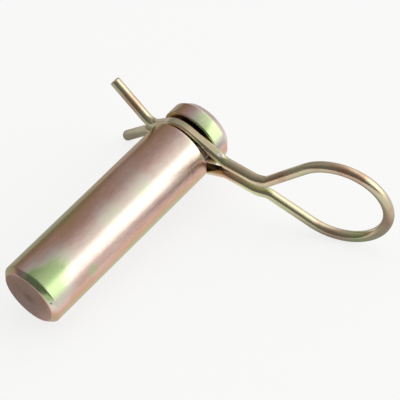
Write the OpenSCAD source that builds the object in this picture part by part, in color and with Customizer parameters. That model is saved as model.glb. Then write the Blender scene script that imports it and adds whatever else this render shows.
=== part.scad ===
// Drawbar pin with a swivelling spring clip, lying as it comes to rest.
// The pin is one turned bar. The clip is one bent wire, sprung over the neck of the bar's groove.
// The origin is the centre of the plain end; the head points to +Y and the finger loop to +X.
// Local frames: the bar stands on its plain end along +Z; the clip lies in XY with its finger loop
// towards +X and the bar's axis along Z, so that +Z points to the head in both.

/* [Bar] */
// Diameter of the shank and of the head
bar_d = 25.4; // [20:0.1:32]
// Length of the shank from the plain end to the groove
grip_len = 81; // [60:1:140]
// Width of the groove that the clip turns in
groove_w = 6; // [5.2:0.1:9]
// Diameter of the neck at the bottom of the groove
neck_d = 16.6; // [13:0.2:19]
// Length of the head beyond the groove
head_len = 8; // [6:0.5:14]
// Chamfer round the plain end
lead_chamfer = 1.9; // [0.8:0.1:4]
// Length of the chamfer round the head, along the bar
head_chamfer_l = 2.6; // [1:0.1:4]
// Depth of the chamfer round the head, across the bar
head_chamfer_r = 2.2; // [1:0.1:4]
// Radius in the corners of the groove
root_r = 0.8; // [0.3:0.1:1.2]
// Break on the two rims of the groove
rim_break = 0.4; // [0.2:0.1:0.8]

/* [Wire] */
// Diameter of the clip's wire
wire_d = 4; // [3:0.1:4.6]
// Thickness of the coined arms, between their two flats
coined_t = 3.4; // [2.4:0.1:3.6]
// Length of the ramp from a coined flat to the round wire
ramp_l = 1.4; // [0.8:0.1:2.5]
// Length of round wire between a ramp and the next bend
ramp_lead = 0.4; // [0.3:0.1:1.5]
// Edge break on the cut ends of the wire
cut_break = 0.3; // [0.1:0.1:0.6]
// How much thinner the wire is drawn in a bend
bend_thinning = 0.04; // [0.02:0.01:0.1]
// Gap between each coined arm and the neck
neck_gap = 0.2; // [0.1:0.05:0.4]

/* [Throat and arms] */
// Distance between the centres of the two wires in the throat
throat_pitch = 6; // [5:0.1:8]
// Distance from the bar's axis to the start of the loop's crank
crank_x = 32; // [30:0.5:45]
// Slope of the arms from the eye to the throat
throat_slope = 23; // [18:1:30]
// Slope of the arms from the eye to the pinch
pinch_slope = 37; // [28:1:45]
// Inside gap between the wires at the pinch
pinch_gap = 0.6; // [0.4:0.1:4]
// Angle between each free end and the clip's middle line
flare_angle = 42; // [30:1:55]
// Straight length of each free end
tail_len = 17.4; // [8:0.2:30]

/* [Finger loop] */
// Radius of the finger loop at the wire's centre
loop_r = 18.4; // [15:0.2:24]
// Distance from the crank to the loop's centre
loop_reach = 28.5; // [27:0.5:40]
// Straight between the crank and the bend that opens the loop
crank_lead = 0.5; // [0.3:0.1:4]
// Angle by which the loop is cranked towards the head
crank_angle = 19.5; // [0:0.5:30]

/* [Bend radii at the wire's centre] */
// Radius where the arms run into the throat
throat_bend_r = 6; // [5:0.5:15]
// Radius of the two bends that open the loop
loop_bend_r = 4.5; // [4:0.5:8]
// Radius of the crank
crank_bend_r = 10; // [3:0.5:12]
// Radius of the two pinch bends
pinch_bend_r = 5; // [3:0.5:8]

/* [Hidden] */
$fn = 64;

bar_r = bar_d / 2;
neck_r = neck_d / 2;
wire_r = wire_d / 2;
groove_mid = grip_len + groove_w / 2;
bar_len = grip_len + groove_w + head_len;

// Run between a coined length and a bend: its length, and how far its slope rises over that length
run_l = ramp_l + ramp_lead;
run_rise = (wire_r - coined_t / 2) * run_l / ramp_l;

// The eye: each arm hugs the neck on an arc about the bar's axis.
eye_r = neck_r + neck_gap + coined_t / 2;
throat_y = throat_pitch / 2;
pinch_y = wire_r + pinch_gap / 2;

// Throat side of an arm: a straight falls from the eye to the bend that runs into the throat.
throat_drop = eye_r * cos(throat_slope) - throat_y - throat_bend_r * (1 - cos(throat_slope));
throat_straight = throat_drop / sin(throat_slope);
throat_end_x = eye_r * sin(throat_slope) + throat_straight * cos(throat_slope)
    + throat_bend_r * sin(throat_slope);

// Pinch side of an arm: a straight falls from the eye to the pinch bend.
pinch_drop = eye_r * cos(pinch_slope) - pinch_y - pinch_bend_r * (1 - cos(pinch_slope));
pinch_straight = pinch_drop / sin(pinch_slope);
pinch_x = -eye_r * sin(pinch_slope) - pinch_straight * cos(pinch_slope)
    - pinch_bend_r * sin(pinch_slope);
tail_straight = tail_len - cut_break;

// Last full section of a free end, before its edge break
tail_x = pinch_x - pinch_bend_r * sin(flare_angle) - tail_straight * cos(flare_angle);
tail_y = pinch_y + pinch_bend_r * (1 - cos(flare_angle)) + tail_straight * sin(flare_angle);

// Finger loop: a straight side runs from each opening bend to the loop, touching both arcs.
side_dx = loop_reach - crank_lead;
side_dy = throat_y + loop_bend_r;
side_span = sqrt(pow(side_dx, 2) + pow(side_dy, 2));
opening_angle = asin((loop_bend_r + loop_r) / side_span) - atan2(side_dy, side_dx);
side_len = sqrt(pow(side_span, 2) - pow(loop_bend_r + loop_r, 2));

// Centre of the loop, in the clip's own frame
crank_end_x = crank_x + crank_bend_r * sin(crank_angle);
crank_end_z = crank_bend_r * (1 - cos(crank_angle));
loop_x = crank_end_x + loop_reach * cos(crank_angle);
loop_z = crank_end_z + loop_reach * sin(crank_angle);

// Attitude at rest: the plain end's rim, one free end of the wire and the loop touch the floor.
// pitch raises the head end of the bar, and swivel turns the clip about the bar.
function axis_height(pitch) = bar_r * cos(pitch) - lead_chamfer * sin(pitch);
function loop_drop(pitch, swivel) = wire_r + loop_r * sqrt(
    pow(cos(crank_angle) * cos(pitch) * sin(swivel) + sin(crank_angle) * sin(pitch), 2)
    + pow(cos(swivel) * cos(pitch), 2));
function tail_drop(pitch, swivel) = wire_r * sqrt(1 - pow(cos(pitch) * sin(swivel + flare_angle), 2))
    + cos(pitch) * (tail_y * cos(swivel) - tail_x * sin(swivel));
function swivel_at(pitch, swivel) = asin((loop_drop(pitch, swivel) - axis_height(pitch)
    - (groove_mid + loop_z) * sin(pitch)) / (loop_x * cos(pitch)));
function pitch_at(pitch, swivel) = asin((tail_drop(pitch, swivel) - axis_height(pitch)) / groove_mid);
function settle(pitch, swivel, rounds) = rounds == 0
    ? [pitch, swivel]
    : settle(pitch_at(pitch, swivel), swivel_at(pitch, swivel), rounds - 1);
rest = settle(4, 0, 60);
rest_pitch = rest[0];
rest_swivel = rest[1];

// ---- placing ----

// The bar's own frame, laid down at rest with the head towards +Y
module at_rest() {
    rotate([rest_pitch, 0, 0]) children();
}

// The clip's own frame, in the middle of the groove
module in_groove() {
    at_rest() translate([0, groove_mid, 0]) rotate([0, -rest_swivel, 0]) rotate([-90, 0, 0]) children();
}

// ---- wire forming: each length starts at the origin along +Z and carries the next one on its end ----

// Section of the wire: the flats of a coined length face +X and -X
module section(coined = false, thinning = 0) {
    intersection() {
        circle(d = wire_d - thinning);
        if (coined) square([coined_t - thinning, 2 * wire_d], center = true);
    }
}

module straight(length, coined = false) {
    linear_extrude(height = length) section(coined);
    translate([0, 0, length]) children();
}

// Both flats run out to the round wire over ramp_l, and the round wire goes on for ramp_lead
module ramps() {
    intersection() {
        cylinder(h = run_l, d = wire_d);
        rotate([90, 0, 0]) linear_extrude(height = 2 * wire_d, center = true) polygon([
            [-coined_t / 2, 0],
            [coined_t / 2, 0],
            [coined_t / 2 + run_rise, run_l],
            [-coined_t / 2 - run_rise, run_l]]);
    }
}

module run_in() {
    translate([0, 0, run_l]) mirror([0, 0, 1]) ramps();
    translate([0, 0, run_l]) children();
}

module run_out() {
    ramps();
    translate([0, 0, run_l]) children();
}

// Carries its children round a bend whose centre is at [radius, 0, 0]
module bent(radius, angle) {
    translate([radius, 0, 0]) rotate([0, angle, 0]) translate([-radius, 0, 0]) children();
}

// A bend of the wire, its centre turned by roll about the wire from +X, and squared off at the far end.
// The section is turned back by roll, so that it starts at the same place round the wire in every length.
module bend(radius, angle, roll = 0, coined = false) {
    rotate([0, 0, roll]) {
        difference() {
            translate([radius, 0, 0]) rotate([90, 0, 180])
                rotate_extrude(angle = angle + 5) translate([radius, 0]) rotate(180 + roll)
                section(coined, bend_thinning);
            bent(radius, angle) translate([-wire_d, -wire_d, 0]) cube(2 * wire_d);
        }
        bent(radius, angle) rotate([0, 0, -roll]) children();
    }
}

// The cut end of the wire, with its edge broken
module cut_end() {
    cylinder(h = cut_break, d1 = wire_d, d2 = wire_d - 2 * cut_break);
}

// ---- bar ----

// Half section of the groove, open outwards, with rounded corners at the neck
module groove_section() {
    reach = bar_r + 1;
    translate([neck_r + root_r, grip_len]) square([reach - neck_r - root_r, groove_w]);
    translate([neck_r, grip_len + root_r]) square([reach - neck_r, groove_w - 2 * root_r]);
    for (y = [grip_len + root_r, grip_len + groove_w - root_r])
        translate([neck_r + root_r, y]) circle(r = root_r);
    for (side = [0, 1])
        translate([bar_r, grip_len + side * groove_w]) rotate(45)
            square(rim_break * sqrt(2), center = true);
}

module bar_section() {
    difference() {
        polygon([
            [0, 0],
            [bar_r - lead_chamfer, 0],
            [bar_r, lead_chamfer],
            [bar_r, bar_len - head_chamfer_l],
            [bar_r - head_chamfer_r, bar_len],
            [0, bar_len]]);
        groove_section();
    }
}

module pin() {
    color("rosybrown") at_rest() rotate([-90, 0, 0]) rotate_extrude() bar_section();
}

// ---- clip ----

// Puts its children at the far end of the finger loop, with their wire along +Y and the loop's centre at +X
module at_loop_end() {
    translate([loop_x, 0, loop_z]) rotate([0, -crank_angle, 0]) translate([loop_r, 0, 0])
        rotate([-90, 0, 0]) rotate([0, 0, 180]) children();
}

// One half of the wire, from the far end of the finger loop to its cut end
module half_clip() {
    at_loop_end() bend(loop_r, 90 + opening_angle) straight(side_len)
        bend(loop_bend_r, opening_angle, 180) straight(crank_lead)
        bend(crank_bend_r, crank_angle, 90) straight(crank_x - throat_end_x)
        bend(throat_bend_r, throat_slope, 180) run_in()
        straight(throat_straight - run_l, true)
        bend(eye_r, throat_slope + pinch_slope, 0, true)
        straight(pinch_straight - run_l, true) run_out()
        bend(pinch_bend_r, pinch_slope + flare_angle, 180)
        straight(tail_straight) cut_end();
}

module spring_clip() {
    color("darkkhaki") in_groove() {
        half_clip();
        mirror([0, 1, 0]) half_clip();
    }
}

pin();
spring_clip();
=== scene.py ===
"""Dressed model of the drawbar pin with its swivelling spring clip: turned bar, bent wire and studio."""

import math

import bmesh
import bpy
from bpy.props import FloatProperty, FloatVectorProperty, IntProperty, PointerProperty
from mathutils import Matrix, Vector


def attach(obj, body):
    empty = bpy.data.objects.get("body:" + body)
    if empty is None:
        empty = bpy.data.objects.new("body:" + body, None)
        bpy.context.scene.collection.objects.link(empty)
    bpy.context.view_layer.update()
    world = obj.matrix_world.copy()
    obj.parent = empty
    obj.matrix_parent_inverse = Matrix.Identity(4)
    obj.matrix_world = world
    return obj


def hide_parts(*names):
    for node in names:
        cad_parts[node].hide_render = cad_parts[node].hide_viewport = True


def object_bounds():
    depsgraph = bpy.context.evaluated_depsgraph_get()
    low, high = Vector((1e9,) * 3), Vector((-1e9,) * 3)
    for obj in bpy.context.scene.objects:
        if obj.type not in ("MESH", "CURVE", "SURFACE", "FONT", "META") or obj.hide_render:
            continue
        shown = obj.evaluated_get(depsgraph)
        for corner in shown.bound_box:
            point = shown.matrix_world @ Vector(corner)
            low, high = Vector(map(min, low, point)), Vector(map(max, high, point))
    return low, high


bl_info = {
    "name": "Drawbar Pin",
    "version": (1, 0, 0),
    "blender": (4, 5, 0),
    "location": "3D View > Sidebar > Drawbar Pin",
    "description": "Builds a turned hitch pin, its bent wire spring clip and a small studio",
    "category": "Object",
}

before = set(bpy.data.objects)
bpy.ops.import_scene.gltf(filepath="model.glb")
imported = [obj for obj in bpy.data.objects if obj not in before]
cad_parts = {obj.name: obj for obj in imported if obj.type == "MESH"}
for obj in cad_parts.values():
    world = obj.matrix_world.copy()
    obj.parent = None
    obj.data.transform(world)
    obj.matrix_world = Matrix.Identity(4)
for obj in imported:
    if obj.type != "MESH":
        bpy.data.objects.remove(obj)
CAD_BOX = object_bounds()

MM = 0.001
# Points nearer than this, in metres, are the same place
SAME_PLACE = 1e-6

# Film thickness from 0 to 1, and the colour that it shows
FILM_TONES = (
    (0.00, (0.47, 0.44, 0.24)),
    (1.00, (0.48, 0.62, 0.31)),
    (0.10, (0.56, 0.40, 0.20)),
    (0.20, (0.64, 0.38, 0.25)),
    (0.32, (0.70, 0.44, 0.35)),
    (0.44, (0.74, 0.53, 0.47)),
    (0.58, (0.77, 0.65, 0.57)),
    (0.70, (0.77, 0.71, 0.60)),
    (0.84, (0.66, 0.73, 0.48)),
)
# Share of the floor's look that is glow; the rest takes the lamps' light and the shadow
FLOOR_GLOW = 0.8
# Strength of the floor to mirrored rays at low X, and its changes with X: start, end (m) and change; painted
# shade at low X and painted light far off at high X
FLOOR_LOW_X = 0.52
FLOOR_CHANGES = (
    (-0.02, 0.02, 0.52),
    (0.022, 0.042, -0.26),
    (0.07, 0.35, 0.36),
)
# Painted shadows in the floor that only mirrored rays see, darker than the camera sees it: x, y, core, reach
# (mm) and depth
FLOOR_PAINTED_SHADOWS = (
    (70, 96, 14, 38, 0.64),
    (-30, 84, 8, 24, 0.55),
    (-8, -8, 6, 26, 0.62),
)
# Thickness of the film round the bar: degrees from its top towards the finger loop, thickness
ROUND_THE_BAR = (
    (-180, 0.38),
    (180, 0.38),
    (-100, 0.22),
    (-46, 0.02),
    (-30, 0.10),
    (-14, 0.21),
    (5, 0.36),
    (20, 0.47),
    (34, 0.57),
    (44, 0.60),
    (54, 0.58),
    (66, 0.44),
    (84, 0.32),
    (95, 0.17),
    (106, 0.04),
    (125, 0.10),
)
# Patches of thicker film on the bar: mm from the plain end, degrees, core (mm), reach (mm), gain
BAR_PATCHES = (
    (4.0, 36.0, 2.0, 15.0, 0.48),
    (89.5, 36.0, 3.0, 13.0, 0.42),
    (14.0, 20.0, 2.0, 8.0, 0.16),
    (1.0, 26.0, 2.0, 9.0, 0.42),
    (38.0, 24.0, 2.0, 7.0, 0.12),
    (54.0, 22.0, 2.0, 7.0, 0.08),
)
# Thickness of the film on the plain end's face, and the one that the head's chamfer and face tend to
FACE_FILM = 0.30
HEAD_FILM = 0.50
# Marks on the bar: mm from the plain end and degrees, and the degrees of the thin dark line along it, a
# painted reflection
SCUFF_AT = (75.5, 66.0)
NICK_AT = (0.9, 67.0)
DROP_AT = (20.5, 74.0)
LINE_DEGREES = 64.5

# Scales of the noise: speckle in the film, fine and broad grain, breaks in the painted reflection line,
# chatter, lathe rings
MOTTLE_SCALE = 900.0
FINE_GRAIN = 2600.0
BROAD_GRAIN = 240.0
LINE_BREAKS = 420.0
CHATTER = 900.0
LATHE_RINGS = 3200.0

# Ways in which a bend turns, as angles about the wire: into the loop or the eye, out of it, to the head
INWARD = 0.0
OUTWARD = math.pi
TO_HEAD = math.pi / 2

# Studio, in metres and degrees: directions are from the middle of the object
STUDIO_MIDDLE = (0.02, 0.06, 0.0)
SOFTBOX_WAY = (0.81, 0.43, 0.37)
FILL_WAY = (-0.15, 0.1, 1.0)
NEAR_WALL_WAY = (0.3, -1.0, 0.25)
LIT_WALL_WAY = (0.38, 0.9, 0.3)
ROOM_WHITE = (1.0, 0.985, 0.96, 1.0)
CAMERA_AT = (0.346531, -0.26507, 0.540669)
CAMERA_AZIMUTH = -45.5814
CAMERA_ELEVATION = 49.0540
CAMERA_ROLL = -5.3246
CAMERA_LENS = 180.5


# ---- sizes and colours ----


def length(name, description, value):
    return FloatProperty(
        name=name, description=description, default=value * MM, min=0.0, unit="LENGTH", precision=4
    )


def angle(name, description, degrees):
    return FloatProperty(name=name, description=description, default=math.radians(degrees), subtype="ANGLE")


def colour(name, description, value):
    return FloatVectorProperty(
        name=name, description=description, default=value, size=4, min=0.0, max=1.0, subtype="COLOR"
    )


def brightness(name, description, value, most=100.0, unit="NONE"):
    return FloatProperty(name=name, description=description, default=value, min=0.0, max=most, unit=unit)


class BarSizes(bpy.types.PropertyGroup):
    bar_r: length("Bar radius", "Radius of the shank and the head", 12.7)
    bar_len: length("Bar length", "From the plain end to the face of the head", 95.0)
    grip_len: length("Grip length", "From the plain end to the groove", 81.0)
    groove_w: length("Groove width", "Width of the groove that the clip turns in", 6.0)
    neck_r: length("Neck radius", "Radius at the bottom of the groove", 8.3)
    root_r: length("Root radius", "Radius in the corners of the groove", 0.8)
    rim_break: length("Rim break", "Break on the rims of the groove", 0.4)
    lead_chamfer: length("Lead chamfer", "Chamfer round the plain end", 1.9)
    head_chamfer_l: length("Head chamfer length", "Chamfer of the head along the bar", 2.6)
    head_chamfer_r: length("Head chamfer depth", "Chamfer of the head across the bar", 2.2)
    edge_r: length("Edge softness", "Rounding that the tool and the plating leave on an edge", 0.28)
    mark_r: length("Centre mark radius", "Radius of the lathe's mark in the plain end", 0.9)
    pitch: angle("Rest pitch", "Rise of the bar's axis as it lies at rest", 3.409269)
    sides: IntProperty(name="Sides", description="Facets round the bar", default=192, min=24)


class WireSizes(bpy.types.PropertyGroup):
    wire_r: length("Wire radius", "Radius of the wire", 2.0)
    coined_t: length("Coined thickness", "Thickness of the arms between their flats", 3.4)
    ramp_l: length("Ramp length", "Ramp from a coined flat to the round wire", 1.4)
    ramp_lead: length("Ramp lead", "Round wire between a ramp and the next bend", 0.4)
    cut_break: length("Cut break", "Edge break on the cut ends", 0.3)
    eye_r: length("Eye radius", "Radius of the coined arms about the bar's axis", 10.2)
    throat_y: length("Throat half pitch", "From the middle line to a wire in the throat", 3.0)
    pinch_y: length("Pinch half pitch", "From the middle line to a wire at the pinch", 2.3)
    crank_x: length("Crank place", "From the bar's axis to the crank", 32.0)
    crank_lead: length("Crank lead", "Straight between the crank and the opening bend", 0.5)
    tail_len: length("Tail length", "Straight length of each free end", 17.4)
    loop_r: length("Loop radius", "Radius of the finger loop at the wire's centre", 18.4)
    loop_reach: length("Loop reach", "From the crank to the loop's centre", 28.5)
    groove_mid: length("Groove middle", "From the plain end to the middle of the groove", 84.0)
    throat_bend_r: length("Throat bend", "Bend radius where the arms run into the throat", 6.0)
    loop_bend_r: length("Opening bend", "Bend radius where the loop opens", 4.5)
    crank_bend_r: length("Crank bend", "Bend radius of the crank", 10.0)
    pinch_bend_r: length("Pinch bend", "Bend radius at the pinch", 5.0)
    throat_slope: angle("Throat slope", "Slope of the arms towards the throat", 23.0)
    pinch_slope: angle("Pinch slope", "Slope of the arms towards the pinch", 37.0)
    flare: angle("Flare", "Angle of the free ends to the middle line", 42.0)
    crank: angle("Crank angle", "Crank of the loop towards the head", 19.5)
    swivel: angle("Rest swivel", "Turn of the clip about the bar as it lies at rest", 2.051112)
    sides: IntProperty(name="Sides", description="Facets round the wire", default=80, min=12)


class PlatingColours(bpy.types.PropertyGroup):
    wire_tint: colour("Wire tint", "Yellow cast of the film on the wire", (0.92, 0.92, 0.73, 1.0))
    # Colour of the painted highlight on the ramps where the coined flats end
    highlit: colour("Highlit metal", "Plating rubbed bright where the flats end", (0.94, 0.84, 0.78, 1.0))
    drop: colour("Dried drop", "Green mark of a drop that dried on the bar", (0.48, 0.62, 0.33, 1.0))
    # This colour darkens the real scratches and the nick, and also gives the painted shade in the groove and
    # the painted dark reflection line along the bar
    grime_and_painted_shade: colour("Grime and shade", "Old oil in the groove, the scratches and the nicks", (0.07, 0.05, 0.03, 1.0))
    roughness: FloatProperty(
        name="Roughness",
        description="Roughness of the plating",
        default=0.25,
        min=0.0,
        max=1.0,
        subtype="FACTOR",
    )


class StudioSizes(bpy.types.PropertyGroup):
    floor: colour("Floor", "Colour of the floor", (0.93, 0.93, 0.92, 1.0))
    softbox_w: brightness("Softbox", "Power of the softbox", 3.6, unit="POWER")
    fill_w: brightness("Fill", "Power of the fill over the floor", 18.0, unit="POWER")
    wall: brightness("Wall", "Level of the room's walls", 0.24, 1.0)
    back_glow: brightness("Back glow", "Glow of the lit wall at the back", 0.95)
    ceiling: brightness("Ceiling", "Level of the room's ceiling", 0.38, 1.0)


# ---- modelling helpers ----


def begin(name, primitive, place, **arguments):
    """Adds one primitive, puts it at its place in its own mesh and opens it in edit mode."""
    if bpy.context.mode != "OBJECT":
        bpy.ops.object.mode_set(mode="OBJECT")
    bpy.ops.object.select_all(action="DESELECT")
    primitive(align="WORLD", location=(0.0, 0.0, 0.0), **arguments)
    piece = bpy.context.active_object
    piece.name = name
    piece.data.name = name
    piece.matrix_world = place
    bpy.ops.object.transform_apply(location=True, rotation=True, scale=True)
    bpy.ops.object.mode_set(mode="EDIT")
    bpy.ops.mesh.select_mode(type="VERT")
    bpy.ops.mesh.select_all(action="SELECT")
    return piece


def finish_mesh(piece, place):
    """Leaves edit mode, puts the mesh where it belongs and keeps the object at the origin."""
    bpy.ops.mesh.select_all(action="SELECT")
    bpy.ops.mesh.remove_doubles(threshold=1e-7)
    bpy.ops.mesh.normals_make_consistent(inside=False)
    bpy.ops.object.mode_set(mode="OBJECT")
    piece.matrix_world = place
    bpy.ops.object.transform_apply(location=True, rotation=True, scale=True)
    bpy.ops.object.shade_smooth_by_angle(angle=math.radians(32))


def lift(height):
    bpy.ops.mesh.extrude_region_move(TRANSFORM_OT_translate={"value": (0.0, 0.0, height)})


def widen(factor, height):
    bpy.ops.transform.resize(value=(factor, factor, 1.0), center_override=(0.0, 0.0, height))


def select_rings(piece, corners):
    """Selects the edges that run round the axis at any of the corners, each a radius and a height."""
    bpy.ops.mesh.select_mode(type="EDGE")
    bpy.ops.mesh.select_all(action="DESELECT")
    mesh = bmesh.from_edit_mesh(piece.data)
    for edge in mesh.edges:
        ends = [(math.hypot(v.co.x, v.co.y), v.co.z) for v in edge.verts]
        if any(all(math.dist(end, corner) < SAME_PLACE for end in ends) for corner in corners):
            edge.select = True
    bmesh.update_edit_mesh(piece.data)


def bar_place(sizes):
    """From the bar standing on its plain end to the bar lying at rest."""
    return Matrix.Rotation(sizes.pitch, 4, "X") @ Matrix.Rotation(math.radians(-90), 4, "X")


def clip_place(sizes, bar):
    """From the clip's own plane to the groove of the bar at rest."""
    return (
        Matrix.Rotation(bar.pitch, 4, "X")
        @ Matrix.Translation((0.0, sizes.groove_mid, 0.0))
        @ Matrix.Rotation(-sizes.swivel, 4, "Y")
        @ Matrix.Rotation(math.radians(-90), 4, "X")
    )


class Forming:
    """Bends wire as a wire former does: draws out or spins the selected end ring and keeps its place."""

    def __init__(self, piece, start):
        self.piece = piece
        self.at = start
        self.coined = []
        self.count = len(piece.data.vertices)

    def way(self, x, y, z):
        return self.at.to_3x3() @ Vector((x, y, z))

    def note(self, half, *places):
        """Keeps the newest rings for the press, where the wire is to be half thick on each side."""
        total = len(bmesh.from_edit_mesh(self.piece.data).verts)
        if half:
            ring = (total - self.count) // len(places)
            for number, place in enumerate(places):
                first = self.count + number * ring
                self.coined.append((place, range(first, first + ring), half))
        self.count = total

    def straight(self, run, half=None):
        bpy.ops.mesh.extrude_region_move(TRANSFORM_OT_translate={"value": self.way(0.0, 0.0, run)})
        self.at = self.at @ Matrix.Translation((0.0, 0.0, run))
        self.note(half, self.at)

    def bend(self, radius, turn, roll, steps, half=None):
        side = self.way(math.cos(roll), math.sin(roll), 0.0)
        centre = self.at.translation + side * radius
        axis = self.way(0.0, 0.0, 1.0).cross(side)
        bpy.ops.mesh.spin(steps=steps, angle=-turn, center=centre, axis=axis)
        places = [
            Matrix.Translation(centre)
            @ Matrix.Rotation(turn * step / steps, 4, axis)
            @ Matrix.Translation(-centre)
            @ self.at
            for step in range(1, steps + 1)
        ]
        self.at = places[-1]
        self.note(half, *places)

    def ramp(self, run, from_half, to_half, steps=7):
        """Runs the flats in or out in short steps."""
        for step in range(1, steps + 1):
            self.straight(run / steps, from_half + (to_half - from_half) * step / steps)

    def press(self):
        """Presses the kept rings flat on both sides, across the wire's own X."""
        for place, ring, half in self.coined:
            inverse = place.inverted()
            for side in (1.0, -1.0):
                bpy.ops.mesh.select_all(action="DESELECT")
                mesh = bmesh.from_edit_mesh(self.piece.data)
                mesh.verts.ensure_lookup_table()
                proud = [mesh.verts[i] for i in ring if side * (inverse @ mesh.verts[i].co).x > half]
                for vert in proud:
                    vert.select = True
                if proud:
                    bpy.ops.transform.resize(
                        value=(0.0, 1.0, 1.0),
                        orient_type="GLOBAL",
                        orient_matrix=place.to_3x3(),
                        orient_matrix_type="GLOBAL",
                        center_override=place @ Vector((side * half, 0.0, 0.0)),
                    )


# ---- materials ----


def group_socket(tree, name, direction, kind, value=None):
    socket = tree.interface.new_socket(name=name, in_out=direction, socket_type=kind)
    if value is not None:
        socket.default_value = value
    return socket


def add(tree, kind, **values):
    node = tree.nodes.new(kind)
    for key, value in values.items():
        setattr(node, key, value)
    return node


def feed(tree, value, socket):
    """Sets a socket to a number, or links another node's output to it."""
    if isinstance(value, (int, float)):
        socket.default_value = value
    else:
        tree.links.new(value, socket)


def math_node(tree, operation, *values, clamp=False):
    """A Math node whose inputs are numbers or other nodes' outputs."""
    node = add(tree, "ShaderNodeMath", operation=operation, use_clamp=clamp)
    for socket, value in zip(node.inputs, values):
        feed(tree, value, socket)
    return node.outputs["Value"]


def product(tree, first, *others):
    for other in others:
        first = math_node(tree, "MULTIPLY", first, other)
    return first


def fade_node(tree, value, start, end, low=0.0, high=1.0):
    """Runs smoothly from low to high while value runs from start to end."""
    node = add(tree, "ShaderNodeMapRange", interpolation_type="SMOOTHSTEP")
    for socket, number in (("From Min", start), ("From Max", end), ("To Min", low), ("To Max", high)):
        node.inputs[socket].default_value = number
    tree.links.new(value, node.inputs["Value"])
    return node.outputs["Result"]


def cloud_node(tree, vector, scale, detail):
    node = add(tree, "ShaderNodeTexNoise")
    node.inputs["Detail"].default_value = detail
    feed(tree, scale, node.inputs["Scale"])
    tree.links.new(vector, node.inputs["Vector"])
    return node.outputs["Fac"]


def ramp_node(tree, value, stops):
    """A colour ramp; the first two stops stand at its two ends."""
    node = add(tree, "ShaderNodeValToRGB")
    elements = node.color_ramp.elements
    for number, (position, tone) in enumerate(stops):
        stop = elements[number] if number < 2 else elements.new(position)
        stop.position = position
        stop.color = (*tone, 1.0)
    tree.links.new(value, node.inputs["Fac"])
    return node.outputs["Color"]


def laid_over(tree, mask, under, over):
    """The colour under, with the plain colour over laid on it where the mask is 1."""
    node = add(tree, "ShaderNodeMix", data_type="RGBA")
    node.inputs["B"].default_value = over
    tree.links.new(mask, node.inputs["Factor"])
    tree.links.new(under, node.inputs["A"])
    return node.outputs["Result"]


def film_group():
    """Passivated film: from olive through rose and cream to green as it grows thicker, times a tint."""
    tree = bpy.data.node_groups.new("Passivated Film", "ShaderNodeTree")
    group_socket(tree, "Vector", "INPUT", "NodeSocketVector")
    group_socket(tree, "Thickness", "INPUT", "NodeSocketFloat", 0.3)
    group_socket(tree, "Drift", "INPUT", "NodeSocketFloat", 0.2)
    group_socket(tree, "Drift Scale", "INPUT", "NodeSocketFloat", 60.0)
    group_socket(tree, "Mottle", "INPUT", "NodeSocketFloat", 0.05)
    group_socket(tree, "Tint", "INPUT", "NodeSocketColor", (1.0, 1.0, 1.0, 1.0))
    group_socket(tree, "Color", "OUTPUT", "NodeSocketColor")
    inward = add(tree, "NodeGroupInput").outputs
    outward = add(tree, "NodeGroupOutput").inputs
    total = inward["Thickness"]
    for amount, scale, detail in (("Drift", inward["Drift Scale"], 2.0), ("Mottle", MOTTLE_SCALE, 3.0)):
        centred = add(tree, "ShaderNodeMapRange", clamp=False)
        centred.inputs["From Min"].default_value = 0.3
        centred.inputs["From Max"].default_value = 0.7
        centred.inputs["To Min"].default_value = -1.0
        tree.links.new(cloud_node(tree, inward["Vector"], scale, detail), centred.inputs["Value"])
        total = math_node(tree, "MULTIPLY_ADD", centred.outputs["Result"], inward[amount], total)
    tinted = add(tree, "ShaderNodeMix", data_type="RGBA", blend_type="MULTIPLY")
    tinted.inputs["Factor"].default_value = 1.0
    tree.links.new(ramp_node(tree, total, FILM_TONES), tinted.inputs["A"])
    tree.links.new(inward["Tint"], tinted.inputs["B"])
    tree.links.new(tinted.outputs["Result"], outward["Color"])
    return tree


def grain_group():
    """Satin grain of the plating: a fine speckle over a broad unevenness, as height and roughness."""
    tree = bpy.data.node_groups.new("Satin Grain", "ShaderNodeTree")
    group_socket(tree, "Vector", "INPUT", "NodeSocketVector")
    group_socket(tree, "Roughness", "INPUT", "NodeSocketFloat", 0.3)
    group_socket(tree, "Variation", "INPUT", "NodeSocketFloat", 0.1)
    group_socket(tree, "Height", "OUTPUT", "NodeSocketFloat")
    group_socket(tree, "Roughness", "OUTPUT", "NodeSocketFloat")
    inward = add(tree, "NodeGroupInput").outputs
    outward = add(tree, "NodeGroupOutput").inputs
    fine = cloud_node(tree, inward["Vector"], FINE_GRAIN, 2.0)
    broad = cloud_node(tree, inward["Vector"], BROAD_GRAIN, 4.0)
    height = add(tree, "ShaderNodeMix", data_type="FLOAT")
    height.inputs["Factor"].default_value = 0.35
    tree.links.new(fine, height.inputs["A"])
    tree.links.new(broad, height.inputs["B"])
    tree.links.new(height.outputs["Result"], outward["Height"])
    centred = math_node(tree, "SUBTRACT", broad, 0.5)
    spread = math_node(
        tree, "MULTIPLY_ADD", centred, inward["Variation"], inward["Roughness"], clamp=True
    )
    tree.links.new(spread, outward["Roughness"])
    return tree


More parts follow.
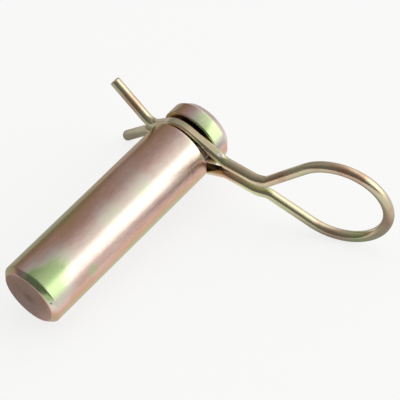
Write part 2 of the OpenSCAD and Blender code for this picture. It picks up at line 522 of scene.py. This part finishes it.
def patch_group():
    """Soft round patch: 1 at its centre, 0 beyond its reach."""
    tree = bpy.data.node_groups.new("Soft Patch", "ShaderNodeTree")
    group_socket(tree, "Vector", "INPUT", "NodeSocketVector")
    group_socket(tree, "Centre", "INPUT", "NodeSocketVector")
    group_socket(tree, "Core", "INPUT", "NodeSocketFloat", 0.004)
    group_socket(tree, "Reach", "INPUT", "NodeSocketFloat", 0.012)
    group_socket(tree, "Mask", "OUTPUT", "NodeSocketFloat")
    inward = add(tree, "NodeGroupInput").outputs
    outward = add(tree, "NodeGroupOutput").inputs
    away = add(tree, "ShaderNodeVectorMath", operation="DISTANCE")
    tree.links.new(inward["Vector"], away.inputs[0])
    tree.links.new(inward["Centre"], away.inputs[1])
    soft = add(tree, "ShaderNodeMapRange", interpolation_type="SMOOTHSTEP")
    soft.inputs["To Min"].default_value = 1.0
    soft.inputs["To Max"].default_value = 0.0
    tree.links.new(away.outputs["Value"], soft.inputs["Value"])
    tree.links.new(inward["Core"], soft.inputs["From Min"])
    tree.links.new(inward["Reach"], soft.inputs["From Max"])
    tree.links.new(soft.outputs["Result"], outward["Mask"])
    return tree


def shared(name, make):
    return bpy.data.node_groups.get(name) or make()


def placed_group(tree, name, make):
    node = tree.nodes.new("ShaderNodeGroup")
    node.node_tree = shared(name, make)
    return node


def patch_node(tree, vector, centre, core, reach):
    node = placed_group(tree, "Soft Patch", patch_group)
    node.inputs["Centre"].default_value = centre
    node.inputs["Core"].default_value = core
    node.inputs["Reach"].default_value = reach
    tree.links.new(vector, node.inputs["Vector"])
    return node.outputs["Mask"]


def plated_metal(name, roughness):
    """A metal with the satin grain, with its tree, shader, object coordinates and relief."""
    material = bpy.data.materials.new(name)
    material.use_nodes = True
    tree = material.node_tree
    tree.nodes.clear()
    out = add(tree, "ShaderNodeOutputMaterial")
    shader = add(tree, "ShaderNodeBsdfPrincipled")
    shader.inputs["Metallic"].default_value = 1.0
    tree.links.new(shader.outputs["BSDF"], out.inputs["Surface"])
    place = add(tree, "ShaderNodeTexCoord")
    grain = placed_group(tree, "Satin Grain", grain_group)
    grain.inputs["Roughness"].default_value = roughness
    grain.inputs["Variation"].default_value = 0.12
    tree.links.new(place.outputs["Object"], grain.inputs["Vector"])
    tree.links.new(grain.outputs["Roughness"], shader.inputs["Roughness"])
    relief = add(tree, "ShaderNodeBump")
    relief.inputs["Strength"].default_value = 0.32
    relief.inputs["Distance"].default_value = 0.00004
    tree.links.new(grain.outputs["Height"], relief.inputs["Height"])
    tree.links.new(relief.outputs["Normal"], shader.inputs["Normal"])
    return material, tree, shader, place.outputs["Object"], relief


def bar_lie(tree, place, sizes, stretch=(1.0, 1.0, 1.0)):
    """Object coordinates, stretched and then turned so that the bar's axis is Y."""
    node = add(tree, "ShaderNodeMapping")
    node.inputs["Rotation"].default_value = (-sizes.pitch, 0.0, 0.0)
    node.inputs["Scale"].default_value = stretch
    tree.links.new(place, node.inputs["Vector"])
    return node.outputs["Vector"]


def on_bar(sizes, at, depth=0.0):
    """A point of the bar, from mm from the plain end and degrees, at a depth under the skin."""
    distance, degrees = at
    out = sizes.bar_r - depth
    turn = math.radians(degrees)
    return (math.sin(turn) * out, distance * MM, math.cos(turn) * out)


def bar_film(tree, place, lie, along, turn, sizes):
    """The bar's film: its thickness goes by the angle, with patches, and is more even at both ends."""
    part = math_node(tree, "MULTIPLY_ADD", turn, 0.5 / math.pi, 0.5)
    stops = [(0.5 + degrees / 360, (amount,) * 3) for degrees, amount in ROUND_THE_BAR]
    thickness = ramp_node(tree, part, stops)
    for distance, degrees, core, reach, gain in BAR_PATCHES:
        mask = patch_node(tree, lie, on_bar(sizes, (distance, degrees)), core * MM, reach * MM)
        thickness = math_node(tree, "MULTIPLY_ADD", mask, gain, thickness)
    shank = fade_node(tree, along, 0.1 * MM, 0.5 * MM)
    chamfer = sizes.bar_len - sizes.head_chamfer_l
    head_rim = fade_node(tree, along, chamfer - 0.2 * MM, chamfer + 0.4 * MM, 1.0, 0.15)
    for even, mask in ((FACE_FILM, shank), (HEAD_FILM, head_rim)):
        above = math_node(tree, "SUBTRACT", thickness, even)
        thickness = math_node(tree, "MULTIPLY_ADD", above, mask, even)
    film = placed_group(tree, "Passivated Film", film_group)
    film.inputs["Drift"].default_value = 0.12
    film.inputs["Drift Scale"].default_value = 80.0
    film.inputs["Mottle"].default_value = 0.06
    tree.links.new(bar_lie(tree, place, sizes, (1.0, 0.35, 1.0)), film.inputs["Vector"])
    tree.links.new(thickness, film.inputs["Thickness"])
    return film.outputs["Color"]


def groove_painted_shade(tree, along, off_axis, sizes):
    """Painted shade in the groove, darkest at its bottom."""
    deep = fade_node(tree, off_axis, sizes.neck_r, sizes.bar_r - 0.3 * MM, 0.92, 0.0)
    start, end = sizes.grip_len, sizes.grip_len + sizes.groove_w
    before = fade_node(tree, along, start - 1.0 * MM, start - 0.2 * MM)
    after = fade_node(tree, along, end + 0.2 * MM, end + 1.0 * MM, 1.0, 0.0)
    return product(tree, deep, before, after)


def painted_reflection_line(tree, lie, along, turn):
    """A painted reflection: a thin dark line along the bar, broken in places."""
    off_line = math_node(tree, "ABSOLUTE", math_node(tree, "SUBTRACT", turn, math.radians(LINE_DEGREES)))
    line = fade_node(tree, off_line, math.radians(0.2), math.radians(2.4), 0.2, 0.0)
    starts = fade_node(tree, along, 16.0 * MM, 34.0 * MM)
    ends = fade_node(tree, along, 74.0 * MM, 79.0 * MM, 1.0, 0.0)
    broken_up = fade_node(tree, cloud_node(tree, lie, LINE_BREAKS, 2.0), 0.35, 0.65, 0.35, 1.0)
    return product(tree, line, starts, ends, broken_up)


def scuffed_patch(tree, place, lie, sizes):
    """Short scratches across the bar, near the groove."""
    patch = patch_node(tree, lie, on_bar(sizes, SCUFF_AT), 1.0 * MM, 6.5 * MM)
    chatter = cloud_node(tree, bar_lie(tree, place, sizes, (0.4, 2.6, 0.4)), CHATTER, 3.0)
    return product(tree, patch, fade_node(tree, chatter, 0.35, 0.7, 0.05, 0.45))


def lathe_rings(tree, along, off_axis):
    """Height of the rings that the lathe left on the plain end's face, and the mask that keeps them there."""
    rings = add(tree, "ShaderNodeTexNoise", noise_dimensions="1D")
    rings.inputs["Scale"].default_value = LATHE_RINGS
    rings.inputs["Detail"].default_value = 2.0
    tree.links.new(off_axis, rings.inputs["W"])
    return rings.outputs["Fac"], fade_node(tree, along, 0.02 * MM, 0.1 * MM, 0.6, 0.0)


def bar_metal(sizes, colours):
    """Plated bar: film in streaks along it, green near both ends, with scratches, a nick and the lathe's
    marks, painted shade in the groove and a painted reflection line.
    """
    material, tree, shader, place, relief = plated_metal("Plated bar", colours.roughness)
    lie = bar_lie(tree, place, sizes)
    split = add(tree, "ShaderNodeSeparateXYZ")
    tree.links.new(lie, split.inputs["Vector"])
    along = split.outputs["Y"]
    turn = math_node(tree, "ARCTAN2", split.outputs["X"], split.outputs["Z"])
    across = add(tree, "ShaderNodeVectorMath", operation="MULTIPLY")
    across.inputs[1].default_value = (1.0, 0.0, 1.0)
    tree.links.new(lie, across.inputs[0])
    from_axis = add(tree, "ShaderNodeVectorMath", operation="LENGTH")
    tree.links.new(across.outputs["Vector"], from_axis.inputs[0])
    off_axis = from_axis.outputs["Value"]

    # Painted reflection: a thin dark line along the bar
    line = painted_reflection_line(tree, lie, along, turn)
    scuff = scuffed_patch(tree, place, lie, sizes)
    nick = patch_node(tree, lie, on_bar(sizes, NICK_AT, 0.9 * MM), 0.25 * MM, 0.6 * MM)
    centre = patch_node(tree, lie, (0.0, 0.0, 0.0), 0.6 * MM, 4.0 * MM)
    # Darker marks: the scratches, the nick and round the centre mark, with painted shade in the groove and
    # the painted reflection line
    dirt_and_painted_shade = math_node(tree, "ADD", groove_painted_shade(tree, along, off_axis, sizes), line, clamp=True)
    dirt_and_painted_shade = math_node(tree, "ADD", dirt_and_painted_shade, scuff, clamp=True)
    dirt_and_painted_shade = math_node(tree, "MULTIPLY_ADD", nick, 0.7, dirt_and_painted_shade, clamp=True)
    dirt_and_painted_shade = math_node(tree, "MULTIPLY_ADD", centre, 0.35, dirt_and_painted_shade, clamp=True)
    drop = patch_node(tree, lie, on_bar(sizes, DROP_AT), 1.0 * MM, 3.4 * MM)
    film = bar_film(tree, place, lie, along, turn, sizes)
    dried = laid_over(tree, math_node(tree, "MULTIPLY", drop, 0.6), film, colours.drop)
    tree.links.new(laid_over(tree, dirt_and_painted_shade, dried, colours.grime_and_painted_shade), shader.inputs["Base Color"])

    rings, faced = lathe_rings(tree, along, off_axis)
    height = relief.inputs["Height"].links[0].from_socket
    height = math_node(tree, "MULTIPLY_ADD", rings, faced, height)
    height = math_node(tree, "MULTIPLY_ADD", scuff, -0.5, height)
    height = math_node(tree, "MULTIPLY_ADD", line, -0.6, height)
    tree.links.new(height, relief.inputs["Height"])
    return material


def wire_metal(colours, ramps):
    """Plated wire: its film drifts between rose, cream and green, with a painted highlight where the flats
    end.
    """
    material, tree, shader, place, _ = plated_metal("Plated wire", colours.roughness)
    film = placed_group(tree, "Passivated Film", film_group)
    film.inputs["Thickness"].default_value = 0.64
    film.inputs["Drift"].default_value = 0.21
    film.inputs["Drift Scale"].default_value = 90.0
    film.inputs["Mottle"].default_value = 0.06
    film.inputs["Tint"].default_value = colours.wire_tint
    tree.links.new(place, film.inputs["Vector"])
    # Painted highlight on the ramps where the coined flats end
    highlit = 0.0
    for at in ramps:
        spot = patch_node(tree, place, at, 0.9 * MM, 1.5 * MM)
        highlit = math_node(tree, "ADD", highlit, spot, clamp=True)
    surface = laid_over(tree, highlit, film.outputs["Color"], colours.highlit)
    tree.links.new(surface, shader.inputs["Base Color"])
    return material


# ---- pieces ----


class DRAWBAR_OT_turned_bar(bpy.types.Operator):
    """Turns the bar: shank, chamfers, groove and head"""

    bl_idname = "drawbar.turned_bar"
    bl_label = "Turned Bar"

    def execute(self, context):
        s = context.scene.drawbar_bar
        face_r = s.bar_r - s.lead_chamfer
        mark = s.mark_r
        # Rings beside the edges keep the smooth shading flat between them
        beside, on_face = 0.9 * MM, 0.6 * MM
        profile = [
            (mark * 0.05, mark * 0.30),
            (mark, 0.0),
            (mark + 0.15 * MM, 0.0),
            (face_r - on_face, 0.0),
            (face_r, 0.0),
            (s.bar_r, s.lead_chamfer),
            (s.bar_r, s.lead_chamfer + beside),
            (s.bar_r, s.grip_len - s.rim_break - beside),
            (s.bar_r, s.grip_len - s.rim_break),
            (s.bar_r - s.rim_break, s.grip_len),
            (s.neck_r, s.grip_len),
            (s.neck_r, s.grip_len + s.groove_w),
            (s.bar_r - s.rim_break, s.grip_len + s.groove_w),
            (s.bar_r, s.grip_len + s.groove_w + s.rim_break),
            (s.bar_r, s.bar_len - s.head_chamfer_l),
            (s.bar_r - s.head_chamfer_r, s.bar_len),
            (s.bar_r - s.head_chamfer_r - on_face, s.bar_len),
            (2.0 * MM, s.bar_len),
        ]
        (r, z), *steps = profile
        piece = begin(
            "turned_bar",
            bpy.ops.mesh.primitive_circle_add,
            Matrix.Translation((0.0, 0.0, z)),
            vertices=s.sides,
            radius=r,
            fill_type="NGON",
        )
        for next_r, next_z in steps:
            lift(next_z - z)
            widen(next_r / r, next_z)
            r, z = next_r, next_z
        corners = [(s.neck_r, s.grip_len), (s.neck_r, s.grip_len + s.groove_w)]
        select_rings(piece, corners)
        bpy.ops.mesh.bevel(offset=s.root_r, segments=6, affect="EDGES", clamp_overlap=True)
        sharp = [
            (face_r, 0.0),
            (s.bar_r, s.lead_chamfer),
            (s.bar_r, s.bar_len - s.head_chamfer_l),
            (s.bar_r - s.head_chamfer_r, s.bar_len),
        ]
        select_rings(piece, sharp)
        bpy.ops.mesh.bevel(offset=s.edge_r, segments=4, affect="EDGES", clamp_overlap=True)
        rims = [
            (s.bar_r, s.grip_len - s.rim_break),
            (s.bar_r - s.rim_break, s.grip_len),
            (s.bar_r - s.rim_break, s.grip_len + s.groove_w),
            (s.bar_r, s.grip_len + s.groove_w + s.rim_break),
        ]
        select_rings(piece, rims)
        bpy.ops.mesh.bevel(offset=s.edge_r * 0.5, segments=3, affect="EDGES", clamp_overlap=True)
        finish_mesh(piece, bar_place(s))
        piece.data.materials.append(bar_metal(s, context.scene.drawbar_plating))
        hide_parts("pin")
        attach(piece, "pin")
        return {"FINISHED"}


class DRAWBAR_OT_spring_clip(bpy.types.Operator):
    """Bends the clip from one length of wire, with coined arms"""

    bl_idname = "drawbar.spring_clip"
    bl_label = "Spring Clip"

    def execute(self, context):
        s = context.scene.drawbar_wire
        flat = s.coined_t / 2
        throat_drop = s.eye_r * math.cos(s.throat_slope) - s.throat_y
        throat_drop -= s.throat_bend_r * (1 - math.cos(s.throat_slope))
        throat_run = throat_drop / math.sin(s.throat_slope)
        throat_x = (
            s.eye_r * math.sin(s.throat_slope)
            + throat_run * math.cos(s.throat_slope)
            + s.throat_bend_r * math.sin(s.throat_slope)
        )
        pinch_drop = s.eye_r * math.cos(s.pinch_slope) - s.pinch_y
        pinch_drop -= s.pinch_bend_r * (1 - math.cos(s.pinch_slope))
        pinch_run = pinch_drop / math.sin(s.pinch_slope)
        dx, dy = s.loop_reach - s.crank_lead, s.throat_y + s.loop_bend_r
        span, both = math.hypot(dx, dy), s.loop_bend_r + s.loop_r
        opening = math.asin(both / span) - math.atan2(dy, dx)
        side_len = math.sqrt(span**2 - both**2)
        loop_x = s.crank_x + s.crank_bend_r * math.sin(s.crank) + s.loop_reach * math.cos(s.crank)
        loop_z = s.crank_bend_r * (1 - math.cos(s.crank)) + s.loop_reach * math.sin(s.crank)
        start = (
            Matrix.Translation((loop_x, 0.0, loop_z))
            @ Matrix.Rotation(-s.crank, 4, "Y")
            @ Matrix.Translation((s.loop_r, 0.0, 0.0))
            @ Matrix.Rotation(math.radians(-90), 4, "X")
            @ Matrix.Rotation(math.radians(180), 4, "Z")
        )
        piece = begin(
            "bent_wire_clip",
            bpy.ops.mesh.primitive_circle_add,
            start,
            vertices=s.sides,
            radius=s.wire_r,
            fill_type="NOTHING",
        )
        wire = Forming(piece, start)
        wire.bend(s.loop_r, math.radians(90) + opening, INWARD, steps=60)
        wire.straight(side_len)
        wire.bend(s.loop_bend_r, opening, OUTWARD, steps=14)
        wire.straight(s.crank_lead)
        wire.bend(s.crank_bend_r, s.crank, TO_HEAD, steps=8)
        wire.straight(s.crank_x - throat_x)
        wire.bend(s.throat_bend_r, s.throat_slope, OUTWARD, steps=12)
        wire.straight(s.ramp_lead)
        wire.ramp(s.ramp_l, s.wire_r, flat)
        outside = Vector((-(flat + s.wire_r) / 2, 0.0, -s.ramp_l / 2))
        ramps = [wire.at @ outside]
        wire.straight(throat_run - s.ramp_l - s.ramp_lead, flat)
        wire.bend(s.eye_r, s.throat_slope + s.pinch_slope, INWARD, steps=26, half=flat)
        wire.straight(pinch_run - s.ramp_l - s.ramp_lead, flat)
        wire.ramp(s.ramp_l, flat, s.wire_r)
        ramps.append(wire.at @ outside)
        ramps += [Vector((at.x, -at.y, at.z)) for at in ramps]
        wire.straight(s.ramp_lead)
        wire.bend(s.pinch_bend_r, s.pinch_slope + s.flare, OUTWARD, steps=26)
        wire.straight(s.tail_len - s.cut_break)
        wire.straight(s.cut_break)
        bpy.ops.transform.resize(
            value=(1 - s.cut_break / s.wire_r,) * 3, center_override=wire.at.translation
        )
        bpy.ops.mesh.edge_face_add()
        bpy.ops.mesh.inset(thickness=s.cut_break)
        wire.press()
        bpy.ops.object.mode_set(mode="OBJECT")
        other_half = piece.modifiers.new("Other half", "MIRROR")
        other_half.use_axis = (False, True, False)
        other_half.merge_threshold = SAME_PLACE
        bpy.ops.object.modifier_apply(modifier=other_half.name)
        bpy.ops.object.mode_set(mode="EDIT")
        lie = clip_place(s, context.scene.drawbar_bar)
        finish_mesh(piece, lie)
        metal = wire_metal(context.scene.drawbar_plating, [lie @ at for at in ramps])
        piece.data.materials.append(metal)
        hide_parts("spring_clip")
        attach(piece, "clip")
        return {"FINISHED"}


# ---- studio ----


def floor_paint(sizes, ground):
    """Pale floor that keeps the shadow.

    Mirrored rays see it with another strength than the camera does: painted shade at low X, painted shadows
    in the places of FLOOR_PAINTED_SHADOWS, about the same in a band at X = 0.02, and painted light a little
    brighter far off at high X.
    """
    paint = bpy.data.materials.new("Pale floor")
    paint.use_nodes = True
    tree = paint.node_tree
    tree.nodes.clear()
    out = add(tree, "ShaderNodeOutputMaterial")
    plain = add(tree, "ShaderNodeBsdfDiffuse")
    plain.inputs["Color"].default_value = sizes.floor
    glow = add(tree, "ShaderNodeEmission")
    path = add(tree, "ShaderNodeLightPath").outputs
    mirrored = path["Is Glossy Ray"]
    looked_at = math_node(tree, "ADD", path["Is Camera Ray"], path["Is Transmission Ray"])
    looked_at = math_node(tree, "ADD", looked_at, mirrored)
    share = math_node(tree, "MULTIPLY", looked_at, FLOOR_GLOW)
    place = add(tree, "ShaderNodeTexCoord").outputs["Object"]
    split = add(tree, "ShaderNodeSeparateXYZ")
    tree.links.new(place, split.inputs["Vector"])
    sideways = split.outputs["X"]
    metal_sees = FLOOR_LOW_X
    for start, end, change in FLOOR_CHANGES:
        metal_sees = math_node(tree, "ADD", fade_node(tree, sideways, start, end, 0.0, change), metal_sees)
    # Painted shadows in the floor's glow, seen only by mirrored rays
    for x, y, core, reach, depth in FLOOR_PAINTED_SHADOWS:
        away = add(tree, "ShaderNodeVectorMath", operation="DISTANCE")
        away.inputs[1].default_value = (x * MM, y * MM, ground)
        tree.links.new(place, away.inputs[0])
        kept = fade_node(tree, away.outputs["Value"], core * MM, reach * MM, 1.0 - depth, 1.0)
        metal_sees = product(tree, metal_sees, kept)
    strength = add(tree, "ShaderNodeMix", data_type="FLOAT")
    strength.inputs["A"].default_value = 1.0
    tree.links.new(mirrored, strength.inputs["Factor"])
    tree.links.new(metal_sees, strength.inputs["B"])
    tree.links.new(strength.outputs["Result"], glow.inputs["Strength"])
    both = add(tree, "ShaderNodeMixShader")
    tree.links.new(share, both.inputs["Fac"])
    tree.links.new(plain.outputs["BSDF"], both.inputs[1])
    tree.links.new(glow.outputs["Emission"], both.inputs[2])
    tree.links.new(both.outputs["Shader"], out.inputs["Surface"])
    return paint


def lit_room(sizes):
    """The room: white to the camera, and otherwise grey walls, a paler ceiling and one lit wall behind."""
    room = bpy.data.worlds.new("Studio room")
    room.use_nodes = True
    tree = room.node_tree
    tree.nodes.clear()
    out = add(tree, "ShaderNodeOutputWorld")
    light = add(tree, "ShaderNodeBackground")
    light.inputs["Color"].default_value = ROOM_WHITE
    tree.links.new(light.outputs["Background"], out.inputs["Surface"])
    way = add(tree, "ShaderNodeTexCoord").outputs["Generated"]
    split = add(tree, "ShaderNodeSeparateXYZ")
    tree.links.new(way, split.inputs["Vector"])
    upward = split.outputs["Z"]

    def towards(direction):
        dot = add(tree, "ShaderNodeVectorMath", operation="DOT_PRODUCT")
        dot.inputs[1].default_value = Vector(direction).normalized()
        tree.links.new(way, dot.inputs[0])
        return dot.outputs["Value"]

    walls = fade_node(tree, upward, 0.05, 0.5, sizes.wall, sizes.ceiling)
    near = fade_node(tree, towards(NEAR_WALL_WAY), -0.1, 0.8, 1.0, 0.45)
    lit = fade_node(tree, towards(LIT_WALL_WAY), 0.38, 1.0, 0.0, sizes.back_glow)
    brightness_there = math_node(tree, "ADD", product(tree, walls, near), lit)
    skirting = fade_node(tree, upward, 0.0, 0.07, 0.5, 1.0)
    seen = add(tree, "ShaderNodeMix", data_type="FLOAT")
    seen.inputs["B"].default_value = 1.0
    tree.links.new(add(tree, "ShaderNodeLightPath").outputs["Is Camera Ray"], seen.inputs["Factor"])
    tree.links.new(product(tree, brightness_there, skirting), seen.inputs["A"])
    tree.links.new(seen.outputs["Result"], light.inputs["Strength"])
    return room


def softbox(name, way_to, distance, across, upward, power, core):
    """A softbox that is brightest in its middle and fades to its edges."""
    toward = Vector(way_to).normalized()
    bpy.ops.object.light_add(type="AREA", location=Vector(STUDIO_MIDDLE) + toward * distance)
    box = bpy.context.active_object
    box.name = name
    box.data.shape = "RECTANGLE"
    box.data.size = across
    box.data.size_y = upward
    box.data.energy = power
    box.rotation_euler = (-toward).to_track_quat("-Z", "Y").to_euler()
    box.data.use_nodes = True
    tree = box.data.node_tree
    tree.nodes.clear()
    out = add(tree, "ShaderNodeOutputLight")
    cloth = add(tree, "ShaderNodeEmission")
    tree.links.new(cloth.outputs["Emission"], out.inputs["Surface"])
    split = add(tree, "ShaderNodeSeparateXYZ")
    tree.links.new(add(tree, "ShaderNodeNewGeometry").outputs["Parametric"], split.inputs["Vector"])
    from_rims = [math_node(tree, "PINGPONG", split.outputs[axis], 0.5) for axis in ("X", "Y")]
    glow = product(tree, *[fade_node(tree, away, 0.0, 0.5 - core / 2) for away in from_rims])
    tree.links.new(glow, cloth.inputs["Strength"])
    return box


def add_camera(scene):
    """Sets the camera from its place, the way back from what it looks at, and its roll."""
    bpy.ops.object.camera_add(location=CAMERA_AT)
    camera = bpy.context.active_object
    camera.name = "studio_camera"
    camera.data.sensor_width = 36.0
    camera.data.lens = CAMERA_LENS
    camera.data.clip_start = 0.01
    camera.data.clip_end = 50.0
    turn = (
        Matrix.Rotation(math.radians(90.0 + CAMERA_AZIMUTH), 3, "Z")
        @ Matrix.Rotation(math.radians(90.0 - CAMERA_ELEVATION), 3, "X")
        @ Matrix.Rotation(math.radians(CAMERA_ROLL), 3, "Z")
    )
    camera.rotation_euler = turn.to_euler()
    scene.camera = camera


class DRAWBAR_OT_studio(bpy.types.Operator):
    """Sets the floor, the softbox, the room's light and the camera"""

    bl_idname = "drawbar.studio"
    bl_label = "Studio"

    def execute(self, context):
        s = context.scene.drawbar_studio
        ground = CAD_BOX[0].z
        bpy.ops.object.select_all(action="DESELECT")
        bpy.ops.mesh.primitive_plane_add(size=12.0, location=(0.0, 0.0, 0.0))
        floor = bpy.context.active_object
        floor.name = "studio_floor"
        bpy.ops.object.mode_set(mode="EDIT")
        bpy.ops.mesh.select_all(action="SELECT")
        bpy.ops.transform.translate(value=(0.0, 0.0, ground))
        bpy.ops.object.mode_set(mode="OBJECT")
        floor.data.materials.append(floor_paint(s, ground))
        context.scene.world = lit_room(s)
        softbox(
            "softbox", SOFTBOX_WAY, distance=0.80, across=1.3, upward=0.86, power=s.softbox_w, core=0.42
        )
        fill = softbox("fill", FILL_WAY, distance=1.6, across=2.4, upward=2.4, power=s.fill_w, core=0.3)
        fill.visible_glossy = False
        add_camera(context.scene)
        context.scene.view_settings.view_transform = "Standard"
        return {"FINISHED"}


class DRAWBAR_PT_panel(bpy.types.Panel):
    """Sizes, colours and build buttons of the drawbar pin"""

    bl_label = "Drawbar Pin"
    bl_idname = "DRAWBAR_PT_panel"
    bl_space_type = "VIEW_3D"
    bl_region_type = "UI"
    bl_category = "Drawbar Pin"

    def draw(self, context):
        scene = context.scene
        for operator, settings in STEPS:
            box = self.layout.box()
            box.operator(operator.bl_idname)
            for holder in settings:
                group = getattr(scene, holder)
                for name in group.__annotations__:
                    box.prop(group, name)


STEPS = (
    (DRAWBAR_OT_turned_bar, ("drawbar_bar", "drawbar_plating")),
    (DRAWBAR_OT_spring_clip, ("drawbar_wire",)),
    (DRAWBAR_OT_studio, ("drawbar_studio",)),
)
HOLDERS = {
    "drawbar_bar": BarSizes,
    "drawbar_wire": WireSizes,
    "drawbar_plating": PlatingColours,
    "drawbar_studio": StudioSizes,
}


def register():
    for holder in HOLDERS.values():
        bpy.utils.register_class(holder)
    for operator, _ in STEPS:
        bpy.utils.register_class(operator)
    bpy.utils.register_class(DRAWBAR_PT_panel)
    for name, holder in HOLDERS.items():
        setattr(bpy.types.Scene, name, PointerProperty(type=holder))


def unregister():
    for name in HOLDERS:
        delattr(bpy.types.Scene, name)
    bpy.utils.unregister_class(DRAWBAR_PT_panel)
    for operator, _ in reversed(STEPS):
        bpy.utils.unregister_class(operator)
    for holder in reversed(list(HOLDERS.values())):
        bpy.utils.unregister_class(holder)


def main():
    register()
    bpy.ops.drawbar.turned_bar()
    bpy.ops.drawbar.spring_clip()
    bpy.ops.drawbar.studio()


if __name__ == "__main__":
    main()
